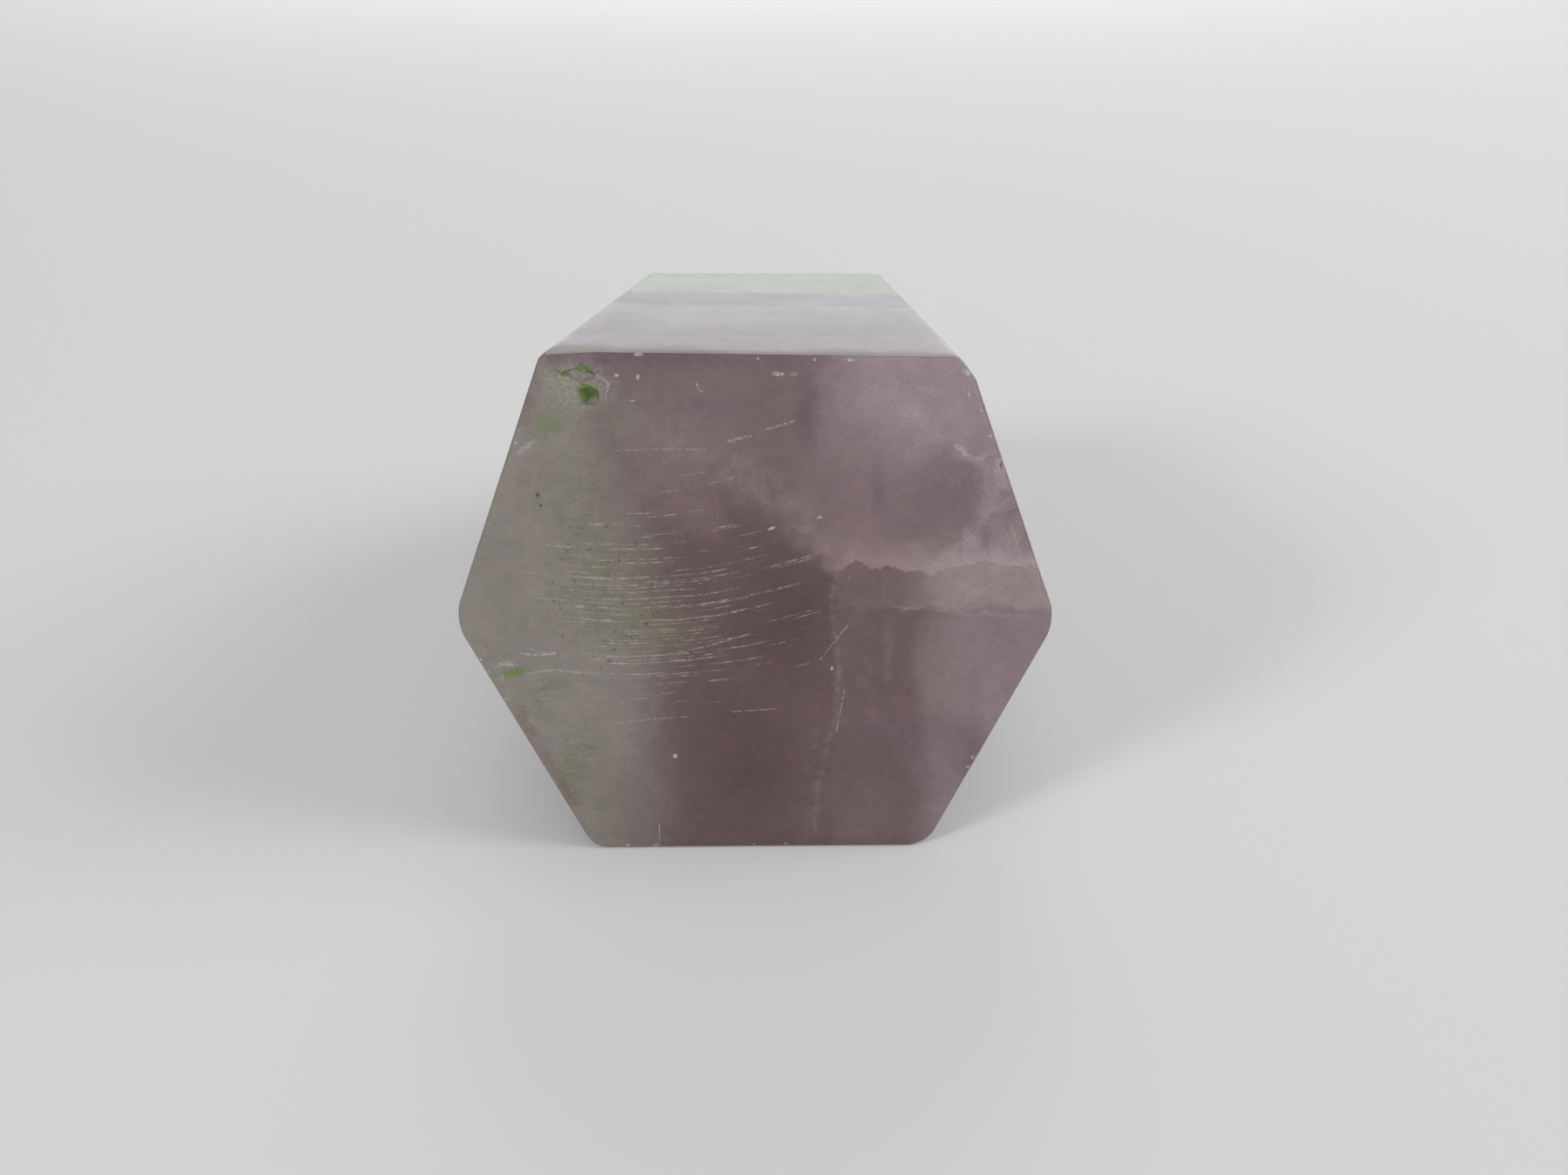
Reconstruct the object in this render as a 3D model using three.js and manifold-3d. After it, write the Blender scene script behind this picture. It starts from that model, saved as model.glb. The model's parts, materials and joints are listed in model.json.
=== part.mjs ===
// A polished fluorite tower, lying on one of its six long sides.
//
// The stone is one piece. Its foot is ground flat and square to the length, its six sides
// narrow towards the far end, and there six short facets meet in a blunt point. The foot faces
// -Y, the point +Y, and +Z is up. Everything is in millimetres.
//
// All six sides lie in planes through one point far beyond the tip, the vanishing point of the
// taper. Because the stone lies on a side, that point is on the ground, and the foot leans back.

import * as THREE from "three";
import { mergeVertices } from "three/addons/utils/BufferGeometryUtils.js";
import Module from "manifold-3d";

const wasm = await Module();
wasm.setup();

// Driving dimensions

const WIDTH = 38.0; // across the two side corners of the foot
const LEAN = THREE.MathUtils.degToRad(5.55); // how far the foot leans back from upright
const TAPER_LENGTH = 182.7; // along the ground, from the foot to the vanishing point of the taper
const TAPER_DRIFT = 2.3; // how far that point lies to the right of the foot's middle
const TIP = { across: 0.9, along: 54.6, up: 12.2 }; // where the six end facets meet
const TIP_BLUNT = 0.035; // share of the end facets lost to the worn point
const RIDGE_SOFTNESS = 0.55; // half width of the polished ridge between sides and end facets
const ARC_STEPS = 4; // flats that make each softened corner

// The foot's corners, seen from the front, from the bottom left round to the right. across and
// up are measured in the plane of the foot from the middle of its bottom edge. softness is the
// radius the polish left on the long edge, rim the width of the bevel round the foot there, and
// ridge the distance along the long edge to the ridge of the end facets.
const CORNERS = [
  { across: -0.305 * WIDTH, up: 0, softness: 1.6, rim: 0.22, ridge: 34.6 },
  { across: 0.305 * WIDTH, up: 0, softness: 2.0, rim: 0.45, ridge: 36.2 },
  { across: 0.5 * WIDTH, up: 0.467 * WIDTH, softness: 3.4, rim: 0.5, ridge: 37.0 },
  { across: 0.34 * WIDTH, up: 0.882 * WIDTH, softness: 1.3, rim: 0.3, ridge: 36.0 },
  { across: 0.312 * WIDTH, up: 0.918 * WIDTH, softness: 0.9, rim: 0.14, ridge: 35.9 },
  { across: -0.312 * WIDTH, up: 0.931 * WIDTH, softness: 1.0, rim: 0.12, ridge: 34.5 },
  { across: -0.5 * WIDTH, up: 0.476 * WIDTH, softness: 3.4, rim: 0.28, ridge: 35.4 },
];

// The shallow flat ground on the front left end of the top side: where it starts on the foot's
// top edge, how far back it reaches along the left edge, and how far it cuts the corner down.
const CORNER_FLAT = { start: -7.7, back: 2.3, down: 0.28 };

// Chips and pits in the foot: their place in the plane of the foot, width, height and depth.
const CHIPS = [
  { name: "upper green pit", across: -9.75, up: 33.85, width: 1.5, height: 0.9, depth: 0.3 },
  { name: "lower green pit", across: -9.3, up: 32.65, width: 1.3, height: 1.2, depth: 0.4 },
  { name: "chip in the top edge", across: -6.28, up: 35.2, width: 0.9, height: 0.8, depth: 0.3 },
  { name: "nick under the top edge", across: 1.57, up: 33.92, width: 0.8, height: 0.3, depth: 0.16 },
  { name: "nick beside it", across: 2.45, up: 33.9, width: 0.45, height: 0.25, depth: 0.12 },
  { name: "chip in the cut corner", across: 12.7, up: 34.0, width: 0.7, height: 0.8, depth: 0.35 },
  { name: "chip in the upper right edge", across: 14.75, up: 28.4, width: 0.6, height: 1.1, depth: 0.4 },
  { name: "chip in the lower left edge", across: -16.3, up: 13.7, width: 0.7, height: 0.9, depth: 0.25 },
  { name: "nick in the bottom edge", across: -7.2, up: 0.25, width: 0.5, height: 0.7, depth: 0.25 },
];
const CHIP_ROUGHNESS = 0.16; // how uneven a chip's hollow is, as a share of its size
const CHIP_DEPTH_OF_TOOL = 2.2; // how deep the tool is for each unit of the chip's depth

// Colour and finish: cloudy lavender grey, polished

const stone = new THREE.MeshStandardMaterial({
  name: "fluorite",
  color: new THREE.Color(0.42, 0.36, 0.4),
  roughness: 0.25,
  metalness: 0,
});

// Places in the plane of the foot, and along the taper

const footUp = new THREE.Vector3(0, Math.sin(LEAN), Math.cos(LEAN));
const footOut = new THREE.Vector3(0, -Math.cos(LEAN), Math.sin(LEAN));
const taperPoint = new THREE.Vector3(TAPER_DRIFT, TAPER_LENGTH, 0);
const tip = new THREE.Vector3(TIP.across, TIP.along, TIP.up);

function onFoot(across, up) {
  return new THREE.Vector3(across, 0, 0).addScaledVector(footUp, up);
}

function towards(from, to, distance) {
  return from.clone().addScaledVector(to.clone().sub(from).normalize(), distance);
}

// The outline of the foot, with each corner turned into a short arc. Each point keeps its own
// outward direction, rim width and ridge distance.

function softenedCorner(before, corner, after) {
  const here = new THREE.Vector2(corner.across, corner.up);
  const back = new THREE.Vector2(before.across, before.up).sub(here).normalize();
  const ahead = new THREE.Vector2(after.across, after.up).sub(here).normalize();
  const halfAngle = Math.acos(back.dot(ahead)) / 2;
  const inward = back.clone().add(ahead).normalize();
  const centre = here.clone().addScaledVector(inward, corner.softness / Math.sin(halfAngle));
  const tangent = corner.softness / Math.tan(halfAngle);
  const start = here.clone().addScaledVector(back, tangent).sub(centre).angle();
  const sweep = Math.PI - 2 * halfAngle;
  const points = [];
  for (let step = 0; step <= ARC_STEPS; step += 1) {
    const angle = start + (sweep * step) / ARC_STEPS;
    const outward = new THREE.Vector2(Math.cos(angle), Math.sin(angle));
    const place = centre.clone().addScaledVector(outward, corner.softness);
    points.push({ place, outward, rim: corner.rim, ridge: corner.ridge });
  }
  return points;
}

function footOutline() {
  const last = CORNERS.length;
  return CORNERS.flatMap((corner, i) =>
    softenedCorner(CORNERS[(i + last - 1) % last], corner, CORNERS[(i + 1) % last]),
  );
}

// The body: rings of points from the foot to the tip, joined by flat strips. Every ring is the
// foot's outline drawn in towards the taper's vanishing point or towards the tip, so each side,
// each softened edge and each end facet stays flat.

function bodyRings(outline) {
  const onOutline = outline.map((point) => onFoot(point.place.x, point.place.y));
  const insideRim = outline.map((point) => {
    const inset = point.place.clone().addScaledVector(point.outward, -point.rim);
    return onFoot(inset.x, inset.y);
  });
  const behindRim = onOutline.map((place, i) => towards(place, taperPoint, outline[i].rim));
  const ridge = onOutline.map((place, i) => towards(place, taperPoint, outline[i].ridge));
  const beforeRidge = ridge.map((place, i) => towards(place, onOutline[i], RIDGE_SOFTNESS));
  const afterRidge = ridge.map((place) => towards(place, tip, RIDGE_SOFTNESS));
  const onRidge = ridge.map((place, i) =>
    place.clone().multiplyScalar(2).add(beforeRidge[i]).add(afterRidge[i]).divideScalar(4),
  );
  const worn = ridge.map((place) => tip.clone().lerp(place, TIP_BLUNT));
  return [insideRim, behindRim, beforeRidge, onRidge, afterRidge, worn];
}

function middleOf(ring) {
  return ring.reduce((sum, place) => sum.add(place), new THREE.Vector3()).divideScalar(ring.length);
}

function loft(rings) {
  const count = rings[0].length;
  const footMiddle = middleOf(rings[0]);
  const tipMiddle = middleOf(rings[rings.length - 1]);
  const positions = [...rings.flat(), footMiddle, tipMiddle].flatMap((place) => place.toArray());
  const footIndex = rings.length * count;
  const tipIndex = footIndex + 1;
  const index = [];
  for (let i = 0; i < count; i += 1) {
    const next = (i + 1) % count;
    index.push(footIndex, i, next);
    for (let ring = 0; ring + 1 < rings.length; ring += 1) {
      const near = ring * count;
      const far = near + count;
      index.push(near + i, far + i, far + next);
      index.push(near + i, far + next, near + next);
    }
    index.push(tipIndex, footIndex - count + next, footIndex - count + i);
  }
  const geometry = new THREE.BufferGeometry();
  geometry.setAttribute("position", new THREE.Float32BufferAttribute(positions, 3));
  geometry.setIndex(index);
  return geometry;
}

// Cutting tools

function toSolid(geometry) {
  const bare = geometry.clone();
  bare.deleteAttribute("normal");
  bare.deleteAttribute("uv");
  const merged = mergeVertices(bare, 1e-4);
  const mesh = new wasm.Mesh({
    numProp: 3,
    vertProperties: new Float32Array(merged.attributes.position.array),
    triVerts: new Uint32Array(merged.index.array),
  });
  return new wasm.Manifold(mesh);
}

function toGeometry(solid) {
  const mesh = solid.getMesh();
  const geometry = new THREE.BufferGeometry();
  geometry.setAttribute("position", new THREE.Float32BufferAttribute(mesh.vertProperties, 3));
  geometry.setIndex(Array.from(mesh.triVerts));
  return geometry;
}

// A repeatable number between -1 and 1 for the unevenness of chip number `chip` at `place`.
function unevenness(place, chip) {
  const mixed = Math.sin(place.x * 12.99 + place.y * 78.23 + place.z * 37.72 + chip * 4.13);
  return 2 * (Math.abs(mixed * 437.58) % 1) - 1;
}

function chipTool(chip, number) {
  const geometry = new THREE.IcosahedronGeometry(1, 1);
  const place = new THREE.Vector3();
  for (let i = 0; i < geometry.attributes.position.count; i += 1) {
    place.fromBufferAttribute(geometry.attributes.position, i);
    const rounded = place.clone().multiplyScalar(10).round();
    place.multiplyScalar(1 + CHIP_ROUGHNESS * unevenness(rounded, number));
    geometry.attributes.position.setXYZ(i, place.x, place.y, place.z);
  }
  // The part of the tool below the surface is a cap: its rim has the chip's width and height.
  const toolDepth = chip.depth * CHIP_DEPTH_OF_TOOL;
  const rimShare = Math.sqrt(1 - (1 - 1 / CHIP_DEPTH_OF_TOOL) ** 2);
  const size = new THREE.Vector3(chip.width, chip.height, 0).divideScalar(2 * rimShare);
  geometry.scale(size.x, size.y, toolDepth);
  const right = new THREE.Vector3(1, 0, 0);
  const centre = onFoot(chip.across, chip.up).addScaledVector(footOut, toolDepth - chip.depth);
  geometry.applyMatrix4(new THREE.Matrix4().makeBasis(right, footUp, footOut).setPosition(centre));
  return toSolid(geometry);
}

// A block whose lower face lies in the plane through three points, with the stone below it.
function flatTool(first, second, third) {
  const plane = new THREE.Plane().setFromCoplanarPoints(first, second, third);
  const size = WIDTH / 2;
  const geometry = new THREE.BoxGeometry(size, size, size);
  geometry.translate(0, 0, size / 2);
  const turn = new THREE.Quaternion().setFromUnitVectors(new THREE.Vector3(0, 0, 1), plane.normal);
  geometry.applyQuaternion(turn);
  geometry.translate(first.x, first.y, first.z);
  return toSolid(geometry);
}

function cornerFlat() {
  const corner = CORNERS[5];
  const edgeSlope = (corner.up - CORNERS[4].up) / (corner.across - CORNERS[4].across);
  const start = onFoot(
    CORNER_FLAT.start,
    corner.up + edgeSlope * (CORNER_FLAT.start - corner.across),
  );
  const behind = towards(onFoot(corner.across, corner.up), taperPoint, CORNER_FLAT.back);
  const below = onFoot(corner.across, corner.up - CORNER_FLAT.down);
  return flatTool(start, behind, below);
}

// The stone

function fluoriteTower() {
  let solid = toSolid(loft(bodyRings(footOutline())));
  solid = solid.subtract(cornerFlat());
  CHIPS.forEach((chip, number) => {
    solid = solid.subtract(chipTool(chip, number));
  });
  const geometry = toGeometry(solid);
  geometry.computeBoundingBox();
  const middle = geometry.boundingBox.getCenter(new THREE.Vector3());
  geometry.translate(-middle.x, -middle.y, -geometry.boundingBox.min.z);
  const mesh = new THREE.Mesh(geometry, stone);
  mesh.name = "fluorite_tower";
  return mesh;
}

const group = new THREE.Group();
group.add(fluoriteTower());

export default group;
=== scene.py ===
# %% [markdown]
# # A polished fluorite tower
#
# The stone is a short six-sided tower of cloudy fluorite, lying on one of its long sides. Its
# ground foot faces the camera and its point faces away. It is one piece, so the lesson makes one
# mesh, and most of the work is in the finish: zones of grey green, maroon and lavender, milky
# veils, a healed crack, the curved marks of a saw, and a few chips.
#
# The CAD model comes first, as a fixed frame. Everything made here is in metres in that frame.

# %% Load the frame
import json
import math
import random

import bmesh
import bpy
from mathutils import Matrix, Vector


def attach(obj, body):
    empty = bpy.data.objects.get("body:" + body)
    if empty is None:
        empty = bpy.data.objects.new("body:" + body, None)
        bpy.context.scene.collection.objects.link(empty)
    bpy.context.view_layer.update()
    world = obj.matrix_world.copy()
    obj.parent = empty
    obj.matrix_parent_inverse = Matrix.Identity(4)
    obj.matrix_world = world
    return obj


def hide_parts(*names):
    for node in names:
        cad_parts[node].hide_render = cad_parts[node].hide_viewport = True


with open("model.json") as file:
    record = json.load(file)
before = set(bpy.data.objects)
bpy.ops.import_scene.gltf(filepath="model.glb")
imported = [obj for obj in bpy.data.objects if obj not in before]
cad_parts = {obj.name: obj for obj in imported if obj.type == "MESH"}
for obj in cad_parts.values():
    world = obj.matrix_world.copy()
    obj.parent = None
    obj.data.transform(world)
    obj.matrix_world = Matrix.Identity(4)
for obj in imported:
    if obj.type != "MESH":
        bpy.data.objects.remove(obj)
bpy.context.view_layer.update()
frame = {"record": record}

# %% [markdown]
# ## The camera
#
# The photograph is taken from close by: a wide lens about 77 mm from the foot, looking down by
# about a third of a right angle. A camera can be aimed by hand, or worked out from the picture.
# Here it is worked out: the top side's two long edges meet at a point that fixes the taper and,
# with the lens, the tilt. The numbers are measured from the middle of the foot's bottom edge.

# %% Place the camera
MM = 0.001
LEAN = math.radians(5.55)
CAMERA_PLACE = Vector((1.82, -61.72, 61.01)) * MM
CAMERA_TILT = math.radians(90 - 32.66)
CAMERA_ROLL = math.radians(-0.45)
PICTURE_WIDTH_PX = 1800
FOCAL_LENGTH_PX = 1403

foot_mount = next(mount for mount in frame["record"]["mounts"] if mount["name"] == "ground_foot")
foot_out = Vector(foot_mount["axis"])
foot_bottom = Vector((0, Vector(foot_mount["pos_m"]).dot(foot_out) / foot_out.y, 0))

bpy.ops.object.camera_add()
camera = bpy.context.object
camera.name = "photo_camera"
camera.data.lens = camera.data.sensor_width * FOCAL_LENGTH_PX / PICTURE_WIDTH_PX
camera.data.clip_start = 1 * MM
camera.matrix_world = (
    Matrix.Translation(foot_bottom + CAMERA_PLACE)
    @ Matrix.Rotation(CAMERA_TILT, 4, "X")
    @ Matrix.Rotation(CAMERA_ROLL, 4, "Z")
)
bpy.context.scene.camera = camera
print("camera at", tuple(round(x, 4) for x in camera.matrix_world.translation))
print("lens", round(camera.data.lens, 2), "mm")

# %% [markdown]
# ## The floor and the light
#
# The stone lies on a plain pale surface in a soft, bright room. A large flat disc is enough for the
# floor. The light is a pale sky all round with five soft lamps. The far one lights the floor
# behind the stone, which the polished top side mirrors, so that side looks much brighter than
# the foot. The left and right ones throw the two faint shadows beside the stone, and the high and
# front ones fill them.

# %% Make the floor
FLOOR_RADIUS = 1.6
FLOOR_COLOUR = (0.70, 0.695, 0.69, 1)


def deselect_all():
    if bpy.context.mode != "OBJECT":
        bpy.ops.object.mode_set(mode="OBJECT")
    bpy.ops.object.select_all(action="DESELECT")


deselect_all()
bpy.ops.mesh.primitive_circle_add(vertices=96, radius=FLOOR_RADIUS, fill_type="NGON")
floor = bpy.context.object
floor.name = "floor"
floor_paint = bpy.data.materials.new("plain_floor")
floor_paint.use_nodes = True
floor_shader = floor_paint.node_tree.nodes["Principled BSDF"]
floor_shader.inputs["Base Color"].default_value = FLOOR_COLOUR
floor_shader.inputs["Roughness"].default_value = 0.9
floor_shader.inputs["Specular IOR Level"].default_value = 0.2
floor.data.materials.append(floor_paint)

# %% Light the room
SKY_COLOUR = (0.97, 0.975, 1.0, 1)
SKY_STRENGTH = 0.345
# Places and sizes are in metres. A lamp aims at the stone and shines all round unless it says more.
LAMPS = [
    {"name": "high_lamp", "place": (0.0, -0.1, 0.9), "size": 0.8, "watts": 1.26},
    {
        "name": "far_lamp",
        "place": (0.0, 0.9, 0.7),
        "size": 0.8,
        "watts": 4.1,
        "aim": (0, 0.9, 0),
        "spread": 110,
    },
    {"name": "front_lamp", "place": (0.15, -0.8, 0.5), "size": 0.5, "watts": 0.42},
    {"name": "left_lamp", "place": (-0.52, -0.4, 0.42), "size": 0.2, "watts": 1.75},
    {"name": "right_lamp", "place": (0.62, -0.04, 0.42), "size": 0.4, "watts": 2.3},
]

sky = bpy.data.worlds.new("pale_room")
sky.use_nodes = True
sky.node_tree.nodes["Background"].inputs["Color"].default_value = SKY_COLOUR
sky.node_tree.nodes["Background"].inputs["Strength"].default_value = SKY_STRENGTH
bpy.context.scene.world = sky
bpy.context.scene.view_settings.view_transform = "Standard"

for lamp in LAMPS:
    place = Vector(lamp["place"])
    aim = Vector(lamp.get("aim", (0, 0, 0)))
    bpy.ops.object.light_add(type="AREA", location=place)
    light = bpy.context.object
    light.name = lamp["name"]
    light.data.shape = "DISK"
    light.data.size = lamp["size"]
    light.data.energy = lamp["watts"]
    light.data.spread = math.radians(lamp.get("spread", 180))
    light.rotation_euler = (place - aim).to_track_quat("Z", "Y").to_euler()
    print(light.name, "at", lamp["place"], "with", lamp["watts"], "W")

# %% [markdown]
# ## The stone's form
#
# The real stone was sawn, ground flat on a wheel and polished. Its six sides lie in planes that
# all meet at one point far beyond the tip, which makes the even taper. The same thing can be
# modelled the same way: draw the foot's outline, round its corners as much as polishing rounded
# the long edges, then extrude it and shrink it towards that meeting point. That keeps every side
# perfectly flat, as grinding does, where a lattice or sculpting would not.

# %% The foot's corners
WIDTH = 38.0 * MM
TAPER_POINT = Vector((2.3, 182.7, 0)) * MM
TIP = Vector((0.9, 54.57, 12.2)) * MM
TIP_BLUNT = 0.035
CORNER_STEPS = 8

# Each corner's place in the plane of the foot as shares of the width, and in millimetres the radius
# that polishing left on its long edge and the distance to the end facets.
CORNERS = [
    {"across": -0.305, "up": 0.0, "softness": 1.6, "ridge": 34.6},
    {"across": 0.305, "up": 0.0, "softness": 2.0, "ridge": 36.2},
    {"across": 0.5, "up": 0.467, "softness": 3.4, "ridge": 37.0},
    {"across": 0.34, "up": 0.882, "softness": 1.3, "ridge": 36.0},
    {"across": 0.312, "up": 0.918, "softness": 0.9, "ridge": 35.9},
    {"across": -0.312, "up": 0.931, "softness": 1.0, "ridge": 34.5},
    {"across": -0.5, "up": 0.476, "softness": 3.4, "ridge": 35.4},
]
foot_up = Vector((0, math.sin(LEAN), math.cos(LEAN)))


def on_foot(across, up, proud=0.0):
    """A point in the plane of the foot, or a little in front of it, from the bottom edge's middle."""
    return Vector((across, 0, 0)) + foot_up * up + foot_out * proud


foot_points = [on_foot(corner["across"] * WIDTH, corner["up"] * WIDTH) for corner in CORNERS]
print("foot corners in mm:", [tuple(round(x / MM, 2) for x in point) for point in foot_points])

# %% Draw the outline
CLOSE = 0.01 * MM


def choose(piece, kind, test):
    """In edit mode, select just the vertices, edges or faces of a piece that pass a test."""
    bpy.ops.mesh.select_mode(type=kind)
    bpy.ops.mesh.select_all(action="DESELECT")
    shape = bmesh.from_edit_mesh(piece.data)
    parts = {"VERT": shape.verts, "EDGE": shape.edges, "FACE": shape.faces}[kind]
    for part in parts:
        if test(part):
            part.select_set(True)
    shape.select_flush_mode()
    bmesh.update_edit_mesh(piece.data)


def near(place, reach):
    """A test for choose: is this vertex within reach of a place?"""
    return lambda vertex: (vertex.co - place).length < reach


deselect_all()
bpy.ops.mesh.primitive_circle_add(vertices=len(CORNERS), radius=WIDTH / 2, fill_type="NGON")
stone = bpy.context.object
stone.name = "polished_tower"
bpy.ops.object.mode_set(mode="EDIT")
circle_points = [vertex.co.copy() for vertex in bmesh.from_edit_mesh(stone.data).verts]
for start, goal in zip(circle_points, foot_points):
    choose(stone, "VERT", near(start, CLOSE))
    bpy.ops.transform.translate(value=goal - start)
print("outline with", len(circle_points), "sharp corners")

# %% Round its corners
# A vertex bevel slides two points away from each corner and joins them with an arc.
slides = []
for number, corner in enumerate(CORNERS):
    here = foot_points[number]
    to_last = foot_points[number - 1] - here
    to_next = foot_points[(number + 1) % len(CORNERS)] - here
    slides.append(corner["softness"] * MM / math.tan(to_last.angle(to_next) / 2))
    choose(stone, "VERT", near(here, CLOSE))
    bpy.ops.mesh.bevel(offset=slides[number], segments=CORNER_STEPS, affect="VERTICES")
print("outline with", len(bmesh.from_edit_mesh(stone.data).verts), "points")

# %% [markdown]
# The extrusion starts in place and is then scaled about the point where the sides meet, so its
# sides lie in the right planes whatever the scale. Each long edge was ground to its own length,
# so each corner is scaled a little more by itself. The end facets are scaled about the tip, and
# what is left there is the worn point.

# %% Extrude the sides and the end facets
MEAN_RIDGE = sum(corner["ridge"] for corner in CORNERS) / len(CORNERS) * MM
RIDGE_FROM = 0.8 * MEAN_RIDGE
RIDGE_TO = 1.2 * MEAN_RIDGE


def shrink(share, centre):
    bpy.ops.transform.resize(value=(share,) * 3, center_override=centre)


choose(stone, "FACE", lambda face: True)
bpy.ops.mesh.extrude_region_move(TRANSFORM_OT_translate={"value": (0, 0, 0)})
mean_share = 1 - MEAN_RIDGE / TAPER_POINT.length
shrink(mean_share, TAPER_POINT)
for corner, here, slide in zip(CORNERS, foot_points, slides):
    now = TAPER_POINT + (here - TAPER_POINT) * mean_share
    own_share = 1 - corner["ridge"] * MM / (here - TAPER_POINT).length
    choose(stone, "VERT", near(now, slide * mean_share + 2 * CLOSE))
    shrink(own_share / mean_share, TAPER_POINT)

choose(stone, "FACE", lambda face: all(vertex.co.y > RIDGE_FROM for vertex in face.verts))
bpy.ops.mesh.extrude_region_move(TRANSFORM_OT_translate={"value": (0, 0, 0)})
shrink(TIP_BLUNT, TIP)
bpy.ops.mesh.select_all(action="SELECT")
bpy.ops.mesh.normals_make_consistent(inside=False)
bpy.ops.object.mode_set(mode="OBJECT")
print(stone.name, "has", len(stone.data.vertices), "points and", len(stone.data.polygons), "faces")

# %% [markdown]
# ## The edges
#
# The rim of the foot was eased by hand, and polishing rounded the ridge before the end facets. For
# the rim the foot is moved back along the sides and grows out again in small insets that follow a
# quarter circle, which can't overlap as a bevel can where long and short edges meet. The ridge
# takes a plain bevel. The front left end of the top side was also ground to a small flat wedge,
# which one bisecting cut takes off.

# %% Ease the rim of the foot and the ridge
# A face whose normal has this share of the foot's own direction is the foot.
SAME_WAY = 0.99
RIM = 0.28 * MM
RIM_STEPS = 3
RIDGE_BEVEL = 0.33 * MM
BEVEL_STEPS = 4


def at_ridge(edge):
    return all(RIDGE_FROM < vertex.co.y < RIDGE_TO for vertex in edge.verts)


bpy.ops.object.mode_set(mode="EDIT")
choose(stone, "EDGE", at_ridge)
bpy.ops.mesh.bevel(offset=RIDGE_BEVEL, segments=BEVEL_STEPS, affect="EDGES")
choose(stone, "FACE", lambda face: face.normal.dot(foot_out) > SAME_WAY)
shrink(1 - RIM / abs(TAPER_POINT.dot(foot_out)), TAPER_POINT)
angles = [math.pi / 2 * step / RIM_STEPS for step in range(RIM_STEPS + 1)]
for last, angle in zip(angles, angles[1:]):
    inward = RIM * (math.cos(last) - math.cos(angle))
    outward = RIM * (math.sin(angle) - math.sin(last))
    bpy.ops.mesh.inset(thickness=inward, depth=outward)
bpy.ops.object.mode_set(mode="OBJECT")
proud = max(vertex.co.dot(foot_out) for vertex in stone.data.vertices)
print("rim eased; foot proud by", round(proud / MM, 4), "mm;", len(stone.data.polygons), "faces")

# %% Grind the wedge at the front left of the top side
FLAT_START = -7.7 * MM
FLAT_BACK = 2.3 * MM
FLAT_DOWN = 0.28 * MM

top_right, top_left = CORNERS[4:6]
top_left_point = foot_points[5]
top_slope = (top_left["up"] - top_right["up"]) / (top_left["across"] - top_right["across"])
flat_start_up = top_left["up"] * WIDTH + top_slope * (FLAT_START - top_left["across"] * WIDTH)
flat_start = on_foot(FLAT_START, flat_start_up)
flat_behind = top_left_point + (TAPER_POINT - top_left_point).normalized() * FLAT_BACK
flat_below = top_left_point - foot_up * FLAT_DOWN
flat_normal = (flat_behind - flat_start).cross(flat_below - flat_start).normalized()
if flat_normal.z < 0:
    flat_normal.negate()


def bisect(place, normal, cut_away=False):
    bpy.ops.mesh.select_all(action="SELECT")
    bpy.ops.mesh.bisect(plane_co=place, plane_no=normal, clear_outer=cut_away)


bpy.ops.object.mode_set(mode="EDIT")
bisect(flat_start, flat_normal, cut_away=True)
choose(stone, "EDGE", lambda edge: edge.is_boundary)
bpy.ops.mesh.fill_holes(sides=0)
bpy.ops.object.mode_set(mode="OBJECT")
print("wedge cut along", tuple(round(x, 3) for x in flat_normal))

# %% [markdown]
# ## Hand-polished flats
#
# Flats that were polished by hand on a soft wheel are never quite flat: reflections wander a
# little across them. A grid of cuts gives the big faces enough points, and a Displace modifier
# with a slow cloud texture moves them by a few hundredths of a millimetre, always inwards.

# %% Cut the grid and wave the flats
GRID = 1.3 * MM
GRID_SPANS = [(-18.5, 18.5), (1.5, 53.5), (1.0, 34.5)]  # along X, Y and Z, in millimetres
MERGE_GAP = 0.002 * MM
WAVE_DEPTH = 0.035 * MM
WAVE_SIZE = 9 * MM

bpy.ops.object.mode_set(mode="EDIT")
for axis, (first, last) in enumerate(GRID_SPANS):
    normal = Vector((0, 0, 0))
    normal[axis] = 1
    cuts = round((last - first) * MM / GRID)
    for cut in range(cuts + 1):
        bisect(normal * (first * MM + cut * GRID), normal)
bpy.ops.mesh.select_all(action="SELECT")
bpy.ops.mesh.remove_doubles(threshold=MERGE_GAP)
bpy.ops.object.mode_set(mode="OBJECT")

waves = bpy.data.textures.new("slow_waves", "CLOUDS")
waves.noise_scale = WAVE_SIZE
waving = stone.modifiers.new("hand_polished", "DISPLACE")
waving.texture = waves
waving.strength = WAVE_DEPTH
waving.mid_level = 1.0
bpy.ops.object.modifier_apply(modifier="hand_polished")
print("cut into", len(stone.data.polygons), "faces")

# %% [markdown]
# ## Chips and pits
#
# Fluorite splits easily along flat planes, so the rim of the foot has small angular chips, and
# near its upper left corner it crumbled a little over some green crystals and left shallow pits.
# Sculpting such small breaks would need a very dense mesh. Here a rough little tool is made for
# each of them, from a coarse icosphere with its points shaken, and a Boolean modifier takes the
# tools out of the stone. Each hollow keeps its tool's material: chips are fresh and pale, and
# the pits have the foot's own ground finish.

# %% The materials that the breaks need
chipped_fluorite = bpy.data.materials.new("chipped_fluorite")
polished_fluorite = bpy.data.materials.new("polished_fluorite")
ground_fluorite = bpy.data.materials.new("ground_fluorite")
finishes = (polished_fluorite, ground_fluorite, chipped_fluorite)
for paint in finishes:
    paint.use_nodes = True
    stone.data.materials.append(paint)

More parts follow.
